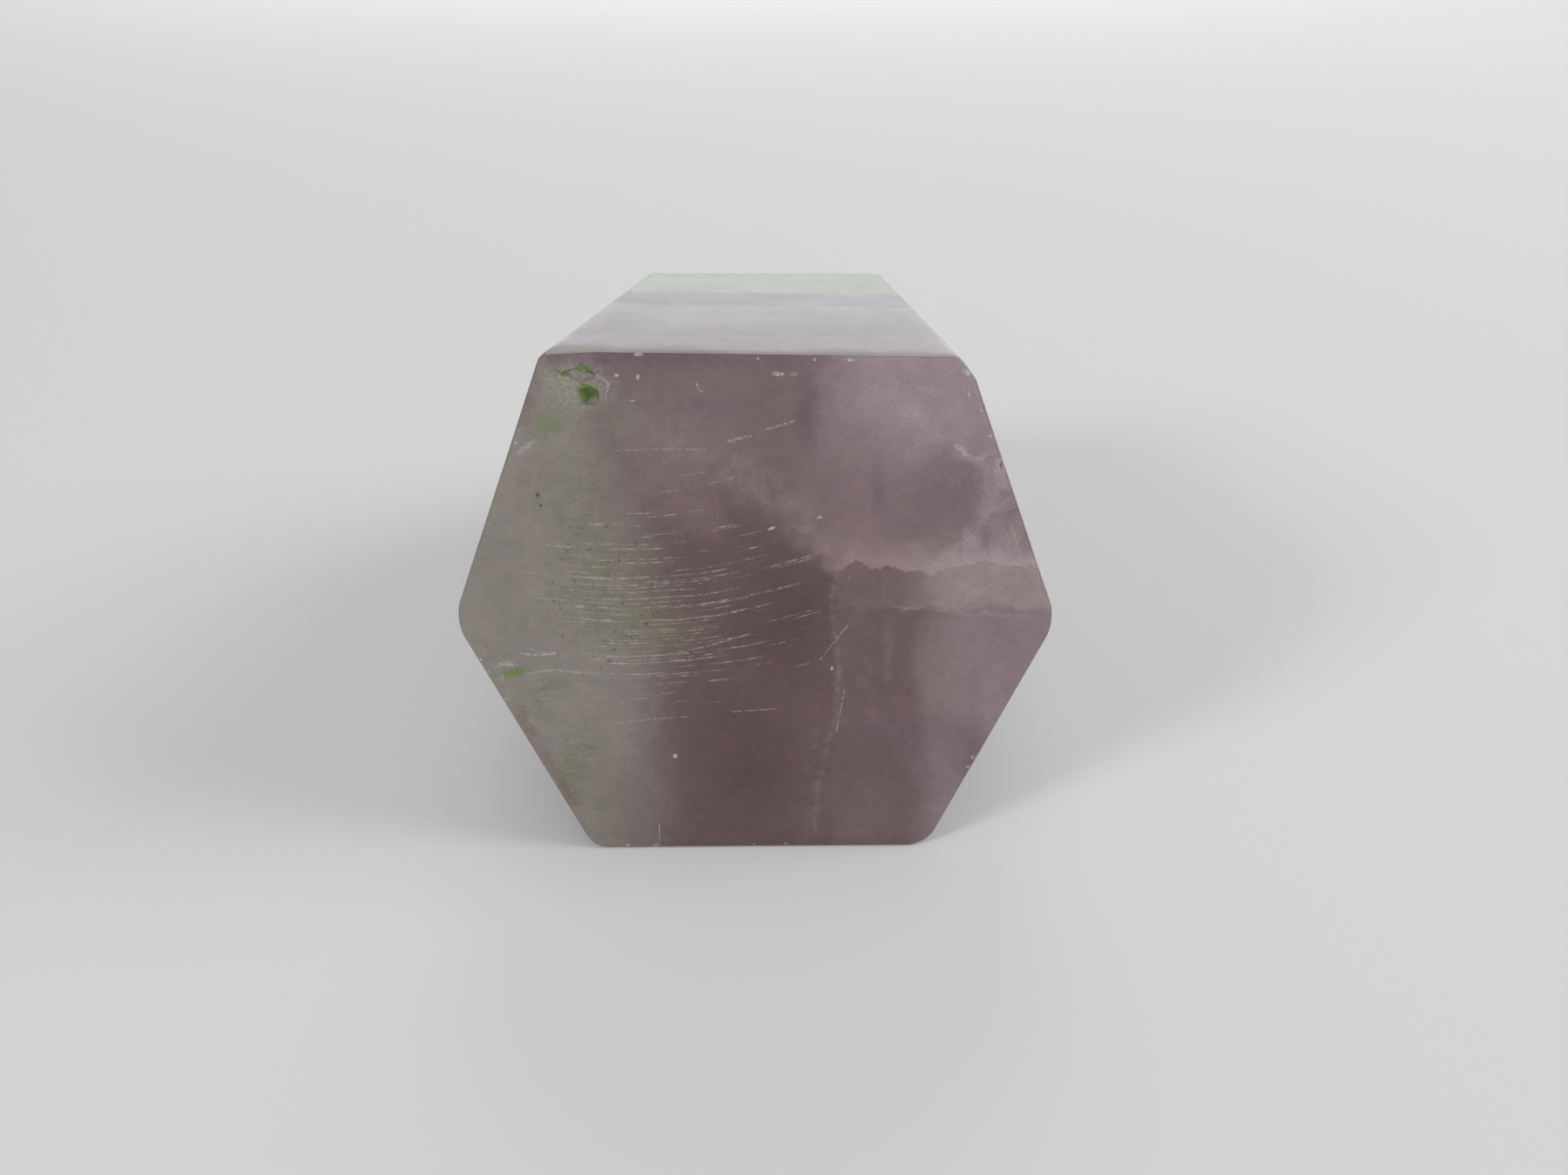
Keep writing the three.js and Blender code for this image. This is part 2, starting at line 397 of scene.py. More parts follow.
# %% Make the tools for the chips and pits
# Place across and up the foot, width, height and depth, all in millimetres.
CHIPS = [
    {"at": (-6.35, 35.3), "size": (0.9, 0.7, 0.18)},
    {"at": (1.57, 33.92), "size": (0.8, 0.3, 0.12)},
    {"at": (2.45, 33.9), "size": (0.45, 0.25, 0.1)},
    {"at": (12.4, 34.1), "size": (0.9, 0.8, 0.2)},
    {"at": (14.75, 28.4), "size": (0.5, 1.0, 0.2)},
    {"at": (-16.35, 13.9), "size": (0.3, 0.5, 0.08)},
    {"at": (-7.2, 0.25), "size": (0.5, 0.6, 0.16)},
]
PITS = [
    {"at": (-9.75, 33.95), "size": (2.0, 0.9, 0.16)},
    {"at": (-9.3, 32.65), "size": (1.3, 1.2, 0.28)},
]
TOOL_DEPTH = 2.2
TOOL_ROUGHNESS = 0.2
TOOL_EVENNESS = 0.4
RIM_SHARE = math.sqrt(1 - (1 - 1 / TOOL_DEPTH) ** 2)


def chip_tool(chip, paint, number):
    """A shaken icosphere whose lowest cap, below the foot's surface, has the chip's size."""
    width, height, depth = (x * MM for x in chip["size"])
    place = on_foot(chip["at"][0] * MM, chip["at"][1] * MM, proud=(TOOL_DEPTH - 1) * depth)
    deselect_all()
    bpy.ops.mesh.primitive_ico_sphere_add(subdivisions=2, location=place, rotation=(-LEAN, 0, 0))
    tool = bpy.context.object
    bpy.ops.object.mode_set(mode="EDIT")
    bpy.ops.transform.vertex_random(offset=TOOL_ROUGHNESS, uniform=TOOL_EVENNESS, seed=number)
    bpy.ops.object.mode_set(mode="OBJECT")
    tool.scale = (width / 2 / RIM_SHARE, depth * TOOL_DEPTH, height / 2 / RIM_SHARE)
    bpy.ops.object.transform_apply(location=True, rotation=True, scale=True)
    tool.data.materials.append(paint)
    return tool


def carve(piece, tools):
    """Join the tools, take them out of the piece, and throw them away."""
    deselect_all()
    for tool in tools:
        tool.select_set(True)
    bpy.context.view_layer.objects.active = tools[0]
    bpy.ops.object.join()
    joined = bpy.context.object
    deselect_all()
    piece.select_set(True)
    bpy.context.view_layer.objects.active = piece
    cut = piece.modifiers.new("broken_out", "BOOLEAN")
    cut.operation = "DIFFERENCE"
    cut.object = joined
    cut.solver = "MANIFOLD"
    bpy.ops.object.modifier_apply(modifier="broken_out")
    bpy.data.objects.remove(joined)


# %% Break them out
# Nicks lie just inside the foot's long sides. Gap, inset and middle are in millimetres on the foot.
NICK_COUNT = 26
NICK_SEED = 11
NICK_GAP = 0.8
NICK_INSET = 0.16 + 0.45 * RIM / MM
FOOT_MIDDLE = Vector((0, 17.5))
SHORT_SIDE = 5 * MM
PIT_SEED = 101

nick_dice = random.Random(NICK_SEED)
sides = zip(foot_points[-1:] + foot_points, foot_points)
long_sides = [(start, end) for start, end in sides if (end - start).length > SHORT_SIDE]
nicks = []
while len(nicks) < NICK_COUNT:
    start, end = nick_dice.choice(long_sides)
    place = start.lerp(end, nick_dice.uniform(0.1, 0.9))
    flat = Vector((place.x / MM, place.dot(foot_up) / MM))
    flat += (FOOT_MIDDLE - flat).normalized() * NICK_INSET
    size = nick_dice.uniform(0.12, 0.34)
    stretch = nick_dice.uniform(0.7, 1.6)
    if all((flat - Vector(other["at"])).length > NICK_GAP for other in CHIPS + nicks):
        nicks.append({"at": tuple(flat), "size": (size * stretch, size, 0.2 * size)})

chips = enumerate(CHIPS + nicks, start=1)
pits = enumerate(PITS, start=PIT_SEED)
carve(stone, [chip_tool(chip, chipped_fluorite, number) for number, chip in chips])
carve(stone, [chip_tool(pit, ground_fluorite, number) for number, pit in pits])
print(len(CHIPS), "chips,", len(nicks), "nicks and", len(PITS), "pits;", len(stone.data.polygons), "faces")

# %% Smooth the stone and give the foot and its rim the ground finish
SHARP_ANGLE = math.radians(24)
RIM_REACH = 0.6 * MM
FACING_SHARE = 0.3

bpy.ops.object.shade_smooth_by_angle(angle=SHARP_ANGLE)
slot_names = [paint.name for paint in stone.data.materials]
ground_faces = 0
for face in stone.data.polygons:
    polished = slot_names[face.material_index] == "polished_fluorite"
    behind_foot = -face.center.dot(foot_out)
    if polished and behind_foot < RIM_REACH and face.normal.dot(foot_out) > FACING_SHARE:
        face.material_index = slot_names.index("ground_fluorite")
        ground_faces += 1
print(ground_faces, "faces of the foot and its rim are ground; materials:", slot_names)

# %% [markdown]
# ## Finishes: helpers
#
# The finishes are built from nodes in code. A few helpers keep that short: one adds a node, one
# links a value or sets it, and the others stand for the nodes used most often. A node is always
# added after the nodes that feed it. The renderer works nodes out in the order they were added,
# and it has room for only so many waiting values before it gives up and shows black.

# %% Helpers for nodes


def add_node(tree, kind, **settings):
    node = tree.nodes.new(kind)
    for name, value in settings.items():
        setattr(node, name, value)
    return node


def plug(tree, value, socket):
    """Link another node's output to a socket, or set the socket to a plain value."""
    if isinstance(value, bpy.types.NodeSocket):
        tree.links.new(value, socket)
    else:
        socket.default_value = value


def maths(tree, operation, *values):
    node = add_node(tree, "ShaderNodeMath", operation=operation)
    for value, socket in zip(values, node.inputs):
        plug(tree, value, socket)
    return node.outputs[0]


def times(tree, *values):
    """Several values multiplied."""
    product = values[0]
    for value in values[1:]:
        product = maths(tree, "MULTIPLY", product, value)
    return product


def scaled(tree, value, factor, offset):
    """A value times a factor, plus an offset."""
    return maths(tree, "MULTIPLY_ADD", value, factor, offset)


def highest(tree, values):
    """The highest of several values, each one made just before it is compared."""
    values = iter(values)
    top = next(values)
    for value in values:
        top = maths(tree, "MAXIMUM", top, value)
    return top


def vector_maths(tree, operation, *values):
    node = add_node(tree, "ShaderNodeVectorMath", operation=operation)
    for value, socket in zip(values, node.inputs):
        plug(tree, value, socket)
    return node.outputs["Value" if operation in ("LENGTH", "DOT_PRODUCT") else "Vector"]


def split_xyz(tree, vector):
    """A vector's X, Y and Z."""
    node = add_node(tree, "ShaderNodeSeparateXYZ")
    plug(tree, vector, node.inputs[0])
    return node.outputs


def fade(tree, value, zero_at, one_at):
    """A smooth step from 0 to 1 between two values, which may fall or rise."""
    node = add_node(tree, "ShaderNodeMapRange", interpolation_type="SMOOTHSTEP")
    for part, socket in ((value, "Value"), (zero_at, "From Min"), (one_at, "From Max")):
        plug(tree, part, node.inputs[socket])
    return node.outputs["Result"]


def noise(tree, place, scale, detail=3.0, roughness=0.5, output="Fac"):
    node = add_node(tree, "ShaderNodeTexNoise")
    plug(tree, place, node.inputs["Vector"])
    for label, value in (("Scale", scale), ("Detail", detail), ("Roughness", roughness)):
        node.inputs[label].default_value = value
    return node.outputs[output]


def mix_colour(tree, share, first, second, blend="MIX"):
    """Two colours mixed. A Mix node also has sockets for numbers and vectors, left unused here."""
    node = add_node(tree, "ShaderNodeMix", data_type="RGBA", blend_type=blend)
    for value, socket in ((share, node.inputs[0]), (first, node.inputs[6]), (second, node.inputs[7])):
        plug(tree, value, socket)
    return node.outputs[2]


def add_bump(tree, height, strength, distance):
    """Make a material look raised by a height times a distance in metres."""
    bump = add_node(tree, "ShaderNodeBump")
    bump.inputs["Strength"].default_value = strength
    bump.inputs["Distance"].default_value = distance
    plug(tree, height, bump.inputs["Height"])
    plug(tree, bump.outputs[0], tree.nodes["Principled BSDF"].inputs["Normal"])


ORIGIN = (0, 0, 0)
SOCKETS_BY_SIZE = {3: "NodeSocketVector", 4: "NodeSocketColor"}


def new_group(name, inputs, outputs):
    """A node group and its inner ends. Three numbers make a vector input, four a colour."""
    group = bpy.data.node_groups.new(name, "ShaderNodeTree")
    for label, value in inputs.items():
        kind = SOCKETS_BY_SIZE[len(value)] if isinstance(value, tuple) else "NodeSocketFloat"
        socket = group.interface.new_socket(label, in_out="INPUT", socket_type=kind)
        socket.default_value = value
    for label, kind in outputs.items():
        group.interface.new_socket(label, in_out="OUTPUT", socket_type="NodeSocket" + kind)
    return group, group.nodes.new("NodeGroupInput").outputs, group.nodes.new("NodeGroupOutput").inputs


def use_group(tree, group, **values):
    """Place a group in a material or in another group, with a value for each input named."""
    node = add_node(tree, "ShaderNodeGroup", node_tree=group)
    for label, value in values.items():
        plug(tree, value, node.inputs[label])
    return node.outputs


# %% [markdown]
# ## A place in the stone
#
# Colour in a crystal goes right through it, so every pattern is placed inside the stone and not
# wrapped round it. Its coordinates are in millimetres from the middle of the foot's bottom edge:
# across, into the stone, and up the foot. A second set is ragged by a few tenths of a millimetre
# and a third wanders by a millimetre or so, which makes natural borders out of plain shapes.

# %% Group: place in the stone
place_group, _, group_out = new_group(
    "place_in_stone", {}, {"Place": "Vector", "Ragged": "Vector", "Wandering": "Vector"}
)
object_place = add_node(place_group, "ShaderNodeTexCoord").outputs["Object"]
centring = add_node(place_group, "ShaderNodeMapping", vector_type="TEXTURE")
centring.inputs["Location"].default_value = foot_bottom
centring.inputs["Rotation"].default_value = (-LEAN, 0, 0)
centring.inputs["Scale"].default_value = (MM, MM, MM)
plug(place_group, object_place, centring.inputs["Vector"])


def shaken(place, start, scale, reach):
    """Move a place by noise of its own, by up to about half the reach each way."""
    shift = noise(place_group, start, scale, output="Color")
    shift = vector_maths(place_group, "SUBTRACT", shift, (0.5, 0.5, 0.5))
    shift = vector_maths(place_group, "MULTIPLY", shift, (reach, reach, reach))
    return vector_maths(place_group, "ADD", place, shift)


place = centring.outputs[0]
ragged = shaken(place, place, scale=3.0, reach=0.5)
ragged = shaken(ragged, place, scale=0.8, reach=0.8)
plug(place_group, place, group_out["Place"])
plug(place_group, ragged, group_out["Ragged"])
plug(place_group, shaken(ragged, place, scale=0.16, reach=2.6), group_out["Wandering"])
print("group", place_group.name)

# %% Group: soft patch
# An oval cloud, turned in the plane of the foot, which fades over a share of its size.
patch_group, group_in, group_out = new_group(
    "soft_patch",
    {"Place": ORIGIN, "Middle": ORIGIN, "Size": (1, 1, 1), "Turn": 0.0, "Fade": 0.6},
    {"Mask": "Float"},
)
tree = patch_group
from_middle = vector_maths(tree, "SUBTRACT", group_in["Place"], group_in["Middle"])
turned = add_node(tree, "ShaderNodeVectorRotate", rotation_type="Y_AXIS")
plug(tree, from_middle, turned.inputs["Vector"])
plug(tree, group_in["Turn"], turned.inputs["Angle"])
in_sizes = vector_maths(tree, "DIVIDE", turned.outputs[0], group_in["Size"])
inner = maths(tree, "SUBTRACT", 1.0, group_in["Fade"])
plug(tree, fade(tree, vector_maths(tree, "LENGTH", in_sizes), 1.0, inner), group_out["Mask"])
print("group", patch_group.name)

# %% Group: veil
# A straight piece of a milky veil or a healed crack: a sheet that stands on a line on the foot
# and fades as it goes into the stone. Several of them end to end make a crooked one.
DEPTH_SHARE = 0.2

veil_group, group_in, group_out = new_group(
    "veil",
    {"Place": ORIGIN, "Start": ORIGIN, "End": (1, 0, 0), "Width": 1.0},
    {"Mask": "Float"},
)
tree = veil_group
flattened = vector_maths(tree, "MULTIPLY", group_in["Place"], (1, DEPTH_SHARE, 1))
along = vector_maths(tree, "SUBTRACT", group_in["End"], group_in["Start"])
from_start = vector_maths(tree, "SUBTRACT", flattened, group_in["Start"])
length_squared = vector_maths(tree, "DOT_PRODUCT", along, along)
share = maths(tree, "DIVIDE", vector_maths(tree, "DOT_PRODUCT", from_start, along), length_squared)
held = add_node(tree, "ShaderNodeClamp")
plug(tree, share, held.inputs["Value"])
nearest = add_node(tree, "ShaderNodeVectorMath", operation="SCALE")
plug(tree, along, nearest.inputs["Vector"])
plug(tree, held.outputs[0], nearest.inputs["Scale"])
away = vector_maths(tree, "SUBTRACT", from_start, nearest.outputs[0])
distance = vector_maths(tree, "LENGTH", away)
plug(tree, fade(tree, distance, group_in["Width"], 0.0), group_out["Mask"])
print("group", veil_group.name)

# %% [markdown]
# ## The colour of the foot
#
# The foot shows grey-green fluorite on the left, maroon in the middle and lavender on the right.
# A crooked crack and a pale band part them, and clouds and veils lie in and between them. An
# image could not follow the stone round its corners, so the zones are soft steps across and up,
# and the clouds are the soft patches and veils made above, each with its own place and colour.

# %% The colours
BODY_LIGHT = 0.7
GLOSS = 0.02


def body(red, green, blue):
    """The stone's own colour for one as it looks on screen: linear, less its gloss and light."""
    linear = [((x / 255 + 0.055) / 1.055) ** 2.4 for x in (red, green, blue)]
    return (*[(x - GLOSS) / BODY_LIGHT for x in linear], 1)


GREY_GREEN = body(129, 124, 117)
MAROON = body(99, 83, 83)
DEEP_MAROON = body(89, 73, 73)
MAUVE = body(117, 102, 103)
PINKISH = body(131, 115, 114)
LAVENDER = body(144, 129, 134)
DUSKY = body(115, 101, 103)
ROSY = body(106, 90, 91)
TAN = body(142, 125, 121)
MILKY = body(158, 144, 146)
PALE_GREY = body(130, 116, 118)
SLATE = body(119, 110, 120)
MOSS = body(107, 109, 86)
LEAF = body(93, 124, 56)
DARK_OLIVE = body(78, 84, 50)
PURPLE = body(104, 87, 97)
BLUE_GREY = body(102, 96, 110)
WARM_GREY = body(112, 106, 98)
FROST = body(146, 147, 134)
WHITE = body(178, 170, 168)
print("maroon in linear numbers:", tuple(round(x, 3) for x in MAROON))

# %% Clouds on the foot
# Middle across and up, half size, turn in degrees, colour, strength and the share that fades.
CLOUD_FADE = 0.9
CLOUDS = [
    {"at": (1.6, 17.8), "size": (4.2, 6.6), "colour": DEEP_MAROON, "strength": 0.8},
    # This low cloud in the middle and the two low dark clouds at the left and right corners make the foot
    # darker towards its bottom: partly the stone's own colour, partly painted shade.
    {"at": (-0.6, 7.2), "size": (5.0, 7.6), "colour": DEEP_MAROON, "strength": 0.75},
    {"at": (3.2, 31.8), "size": (1.1, 4.0), "colour": body(99, 85, 91), "strength": 0.6},
    {"at": (12.0, 26.8), "size": (3.2, 3.4), "turn": 20, "colour": DUSKY, "strength": 0.5, "fade": 0.8},
    {"at": (10.4, 26.2), "size": (3.4, 3.8), "turn": -30, "colour": DUSKY, "strength": 0.45},
    {"at": (9.0, 31.9), "size": (2.2, 1.3), "turn": -40, "colour": MILKY, "strength": 0.5},
    {"at": (7.5, 26.9), "size": (0.8, 2.6), "colour": body(106, 94, 106), "strength": 0.5},
    {"at": (5.7, 28.9), "size": (0.7, 1.5), "turn": 5, "colour": TAN, "strength": 0.45},
    {"at": (6.4, 24.6), "size": (2.0, 1.2), "turn": -20, "colour": body(128, 110, 106), "strength": 0.5},
    {"at": (13.6, 19.9), "size": (1.6, 1.2), "colour": MILKY, "strength": 0.4},
    {"at": (15.4, 23.2), "size": (1.8, 3.0), "turn": -18, "colour": MILKY, "strength": 0.45},
    {"at": (11.3, 14.0), "size": (1.8, 5.4), "turn": 8, "colour": PINKISH, "strength": 0.6},
    {"at": (12.2, 6.6), "size": (2.8, 5.0), "turn": 15, "colour": SLATE, "strength": 0.45, "fade": 1.0},
    {"at": (9.0, 9.8), "size": (3.6, 2.2), "colour": body(107, 90, 101), "strength": 0.4, "fade": 1.0},
    {"at": (7.0, 3.6), "size": (4.4, 4.8), "colour": body(108, 94, 95), "strength": 0.6},
    {"at": (-7.0, 30.9), "size": (1.9, 1.3), "turn": 20, "colour": PINKISH, "strength": 0.55},
    {"at": (-5.2, 32.9), "size": (3.2, 1.3), "colour": body(115, 108, 102), "strength": 0.45},
    {"at": (-2.1, 32.2), "size": (2.8, 0.8), "turn": 3, "colour": BLUE_GREY, "strength": 0.3, "fade": 1.0},
    {"at": (0.6, 30.4), "size": (2.8, 1.5), "turn": 14, "colour": WARM_GREY, "strength": 0.4, "fade": 1.0},
    {"at": (-5.2, 28.6), "size": (4.4, 4.2), "colour": body(126, 113, 108), "strength": 0.75, "fade": 1.0},
    {"at": (-3.4, 25.6), "size": (3.4, 3.4), "turn": -30, "colour": PINKISH, "strength": 0.45, "fade": 1.0},
    # Low dark clouds at the bottom corners: partly the stone's own colour, partly painted shade.
    {"at": (-9.4, 2.4), "size": (5.0, 7.0), "colour": body(106, 98, 92), "strength": 0.45},
    {"at": (14.8, 6.8), "size": (2.8, 7.0), "turn": 28, "colour": body(106, 92, 96), "strength": 0.8},
    {"at": (14.6, 27.2), "size": (1.6, 4.4), "turn": -20, "colour": MILKY, "strength": 0.35, "fade": 1.0},
    {"at": (6.0, 28.4), "size": (2.6, 4.4), "colour": MAUVE, "strength": 0.4, "fade": 1.0},
    {"at": (-7.6, 31.2), "size": (2.8, 2.6), "colour": body(122, 116, 108), "strength": 0.7, "fade": 1.0},
    {"at": (-11.7, 31.1), "size": (1.4, 0.9), "turn": -14, "colour": LEAF, "strength": 0.4, "fade": 1.0},
    {"at": (-15.6, 14.3), "size": (1.4, 0.5), "turn": 12, "colour": LEAF, "strength": 0.7},
    {"at": (-16.1, 15.0), "size": (1.1, 0.35), "turn": 16, "colour": WHITE, "strength": 0.2},
    {"at": (-14.2, 3.0), "size": (2.2, 6.0), "turn": -25, "colour": body(122, 120, 106), "strength": 0.4},
]
MOSS_CLOUDS = [
    {"at": (-10.0, 26.6), "size": (3.0, 4.6), "strength": 0.5, "fade": 1.0},
    {"at": (-9.0, 20.4), "size": (5.2, 6.4), "strength": 0.65, "fade": 1.0},
    {"at": (-6.6, 17.4), "size": (5.2, 3.6), "strength": 0.7, "fade": 1.0},
    {"at": (-12.4, 6.6), "size": (2.6, 6.6), "turn": -24, "strength": 0.8, "fade": 1.0},
    {"at": (-14.2, 12.2), "size": (2.2, 3.4), "turn": -28, "strength": 0.7, "fade": 1.0},
]

# %% Veils and cracks
# A path across and up the foot, with half width, colour and strength.
DIAGONAL_BAND = [(-4.6, 30.0), (-0.9, 28.0), (2.0, 25.9), (4.4, 22.9)]
WISP = [(9.4, 31.6), (11.0, 30.1), (12.7, 29.0), (14.7, 28.2)]
WISP_LOOP = [(14.3, 28.0), (14.9, 26.2), (14.0, 24.4), (12.6, 22.8)]
CRACK_HIGH = [(5.2, 21.4), (4.7, 19.3), (5.2, 16.2), (5.3, 13.0)]
CRACK_LOW = [(5.3, 13.0), (5.0, 9.6), (4.1, 6.8), (3.8, 1.3)]
LOW_LEFT_EDGE = [(-15.6, 11.4), (-14.7, 9.2), (-12.6, 4.0)]
HIGH_LEFT_EDGE = [(-13.2, 31.6), (-12.0, 34.6), (-11.0, 35.0)]
VEILS = [
    {"path": DIAGONAL_BAND, "width": 1.9, "colour": PINKISH, "strength": 0.6},
    {"path": WISP, "width": 0.9, "colour": MILKY, "strength": 0.45},
    {"path": WISP[1:], "width": 0.3, "colour": WHITE, "strength": 0.4},
    {"path": WISP_LOOP, "width": 1.3, "colour": MILKY, "strength": 0.6},
    {"path": [(8.6, 18.9), (12.2, 18.5), (17.9, 18.1)], "width": 0.22, "colour": MILKY, "strength": 0.3},
    {"path": [(8.2, 20.5), (8.5, 13.5)], "width": 0.5, "colour": PINKISH, "strength": 0.35},
    {"path": [(6.4, 19.5), (7.4, 10.5)], "width": 0.9, "colour": MAUVE, "strength": 0.35},
    {"path": [(4.2, 10.0), (3.3, 1.2)], "width": 1.5, "colour": body(113, 98, 99), "strength": 0.5},
    {"path": CRACK_HIGH, "width": 0.3, "colour": PINKISH, "strength": 0.45},
    {"path": CRACK_LOW, "width": 0.28, "colour": PINKISH, "strength": 0.3},
    {"path": [(-13.6, 29.4), (-12.8, 29.9)], "width": 0.3, "colour": WHITE, "strength": 0.4},
    {"path": LOW_LEFT_EDGE, "width": 0.8, "colour": body(112, 95, 88), "strength": 0.6},
    {"path": HIGH_LEFT_EDGE, "width": 0.9, "colour": MAUVE, "strength": 0.8},
]
TOP_VEIL = {"path": [(-11.0, 35.0), (4.0, 35.0)], "width": 1.0, "colour": PURPLE, "strength": 0.6}

# %% Masks for spots and paths
SPOT_DEPTH = 6
SPOT_FADE = 0.5


def spot_mask(tree, place, spot):
    """The mask of one oval spot of a list, such as a cloud or a speck."""
    across, up = spot["at"]
    width, height = spot["size"]
    shape = {
        "Middle": (across, 0, up),
        "Size": (width, spot.get("depth", SPOT_DEPTH), height),
        "Turn": math.radians(spot.get("turn", 0)),
        "Fade": spot.get("fade", SPOT_FADE),
    }
    return use_group(tree, patch_group, Place=place, **shape)["Mask"]


def path_mask(tree, place, path, width):
    """The mask of a crooked veil, scratch or crack."""

    def piece_mask(start, end):
        ends = {"Start": (start[0], 0, start[1]), "End": (end[0], 0, end[1])}
        return use_group(tree, veil_group, Place=place, Width=width, **ends)["Mask"]

    return highest(tree, (piece_mask(start, end) for start, end in zip(path, path[1:])))


def scratch_mask(tree, place, scratch):
    """The mask of one path of a list, such as a scratch, with its own strength."""
    return times(tree, path_mask(tree, place, scratch["path"], scratch["width"]), scratch["strength"])


def paint_over(tree, colour, over, strength, *masks):
    """Lay a colour over another where all the masks show."""
    return mix_colour(tree, times(tree, strength, *masks), colour, over)


# %% Group: foot colour
# How the lines run. Heights, widths and places are in millimetres across or up the foot.
BORDER_BEND = 0.005
BULGE_HEIGHT = 16.0
SLANT = 0.75
SLANT_ENDS = -3.4
BAND_EDGE = 21.4
BAND_WAVE = 2.4
STRIP_EDGE = 18.6
STRIP_WAVE = -1.6
CRACK_ACROSS = 5.0
CRACK_STEP = -0.8
CRACK_SOFTENS = (22.5, 27.0)
CRACK_BLUR = 9.0
# Where one colour turns into the next.
GREEN_TO_MAROON = (-10.2, -3.6)
MAUVE_ACROSS = (-8.4, -4.8)
MAUVE_UP = (24.0, 27.2)
ROSY_TO_GREY = (9.8, 13.2)
STRIP_PALES = (8.6, 12.4)
DUSKY_TO_LAVENDER = (25.5, 32.0)
TAN_TO_MILKY = (8.0, 13.0)

foot_group, group_in, group_out = new_group(
    "foot_colour", {"Ragged": ORIGIN, "Wandering": ORIGIN}, {"Colour": "Color"}
)
tree = foot_group
across, _, up = split_xyz(tree, group_in["Wandering"])

# Grey green to maroon, along a line that bulges to the right halfway up.
from_bulge = maths(tree, "SUBTRACT", up, BULGE_HEIGHT)
left_border = scaled(tree, times(tree, from_bulge, from_bulge), BORDER_BEND, across)
colour = mix_colour(tree, fade(tree, left_border, *GREEN_TO_MAROON), GREY_GREEN, MAROON)

# The mauve above the slanting pale band.
slant = maths(tree, "MAXIMUM", times(tree, across, SLANT), SLANT_ENDS)
above_band = fade(tree, maths(tree, "ADD", slant, up), *MAUVE_UP)
colour = paint_over(tree, colour, MAUVE, 1.0, above_band, fade(tree, left_border, *MAUVE_ACROSS))

# Right of the crack, from the bottom up: rosy to pale grey, the strip, and dusky to lavender.
across, _, up = split_xyz(tree, group_in["Ragged"])
wave = noise(tree, group_in["Ragged"], 0.4, detail=2.0)
band_edge = scaled(tree, wave, BAND_WAVE, BAND_EDGE - BAND_WAVE / 2)
strip_edge = scaled(tree, wave, STRIP_WAVE, STRIP_EDGE - STRIP_WAVE / 2)
over_edge = maths(tree, "SUBTRACT", up, band_edge)
over_strip = maths(tree, "SUBTRACT", up, strip_edge)
low_colour = mix_colour(tree, fade(tree, across, *ROSY_TO_GREY), ROSY, PALE_GREY)
strip_colour = mix_colour(tree, fade(tree, across, *STRIP_PALES), body(112, 96, 95), body(141, 127, 127))
high_colour = mix_colour(tree, fade(tree, up, *DUSKY_TO_LAVENDER), body(123, 107, 109), LAVENDER)
right_colour = mix_colour(tree, fade(tree, over_strip, -0.15, 0.3), low_colour, strip_colour)
right_colour = mix_colour(tree, fade(tree, over_edge, -0.1, 0.2), right_colour, high_colour)

# The crack steps to the left above the band's lower edge, and is softer higher up.
high_share = fade(tree, up, BAND_EDGE - 0.6, BAND_EDGE + 0.4)
crack_line = scaled(tree, high_share, CRACK_STEP, CRACK_ACROSS)
crack_softness = scaled(tree, fade(tree, up, *CRACK_SOFTENS), CRACK_BLUR, 1.0)
past_crack = maths(tree, "DIVIDE", maths(tree, "SUBTRACT", across, crack_line), crack_softness)
right_share = times(tree, fade(tree, past_crack, -0.3, 0.25), fade(tree, across, -1.5, 7.5))
colour = mix_colour(tree, right_share, colour, right_colour)

# The pale band: sharp below, and fading upwards.
band = times(tree, fade(tree, over_edge, -0.08, 0.12), fade(tree, over_edge, 2.4, 0.1))
band_colour = mix_colour(tree, fade(tree, across, *TAN_TO_MILKY), TAN, MILKY)
colour = paint_over(tree, colour, band_colour, 0.85, band, fade(tree, across, 4.2, 6.2))

# Moss in streaks, then the clouds, and the veils in patches.
streaks = vector_maths(tree, "MULTIPLY", group_in["Ragged"], (0.35, 1, 1.6))
streaky = fade(tree, noise(tree, streaks, 1.3, detail=4.0, roughness=0.75), 0.36, 0.62)
patchy = noise(tree, group_in["Ragged"], 1.1, detail=3.0, roughness=0.65)
patchy = scaled(tree, fade(tree, patchy, 0.38, 0.62), 0.85, 0.15)
for cloud in MOSS_CLOUDS:
    mask = spot_mask(tree, group_in["Wandering"], cloud)
    colour = paint_over(tree, colour, MOSS, cloud["strength"], mask, streaky)
for cloud in CLOUDS:
    mask = spot_mask(tree, group_in["Ragged"], {"fade": CLOUD_FADE, **cloud})
    colour = paint_over(tree, colour, cloud["colour"], cloud["strength"], mask)
for veil in VEILS:
    mask = path_mask(tree, group_in["Ragged"], veil["path"], veil["width"])
    colour = paint_over(tree, colour, veil["colour"], veil["strength"], mask, patchy)
top_mask = path_mask(tree, group_in["Ragged"], TOP_VEIL["path"], TOP_VEIL["width"])
colour = paint_over(tree, colour, TOP_VEIL["colour"], TOP_VEIL["strength"], top_mask)
plug(tree, colour, group_out["Colour"])
print("group", foot_group.name, "with", len(tree.nodes), "nodes")

# %% [markdown]
# ## The colour along the stone
#
# Behind the foot the colour changes in zones across the length: lavender, bluish, warm, a dark
# purple one, and mint green towards the point. A colour ramp driven by the depth does this, and
# near the foot it lets the foot's own colours through, so that the sides and the foot agree.
# Both also share one cloudiness: swirls, flecks and a fine grain that lighten and darken them.

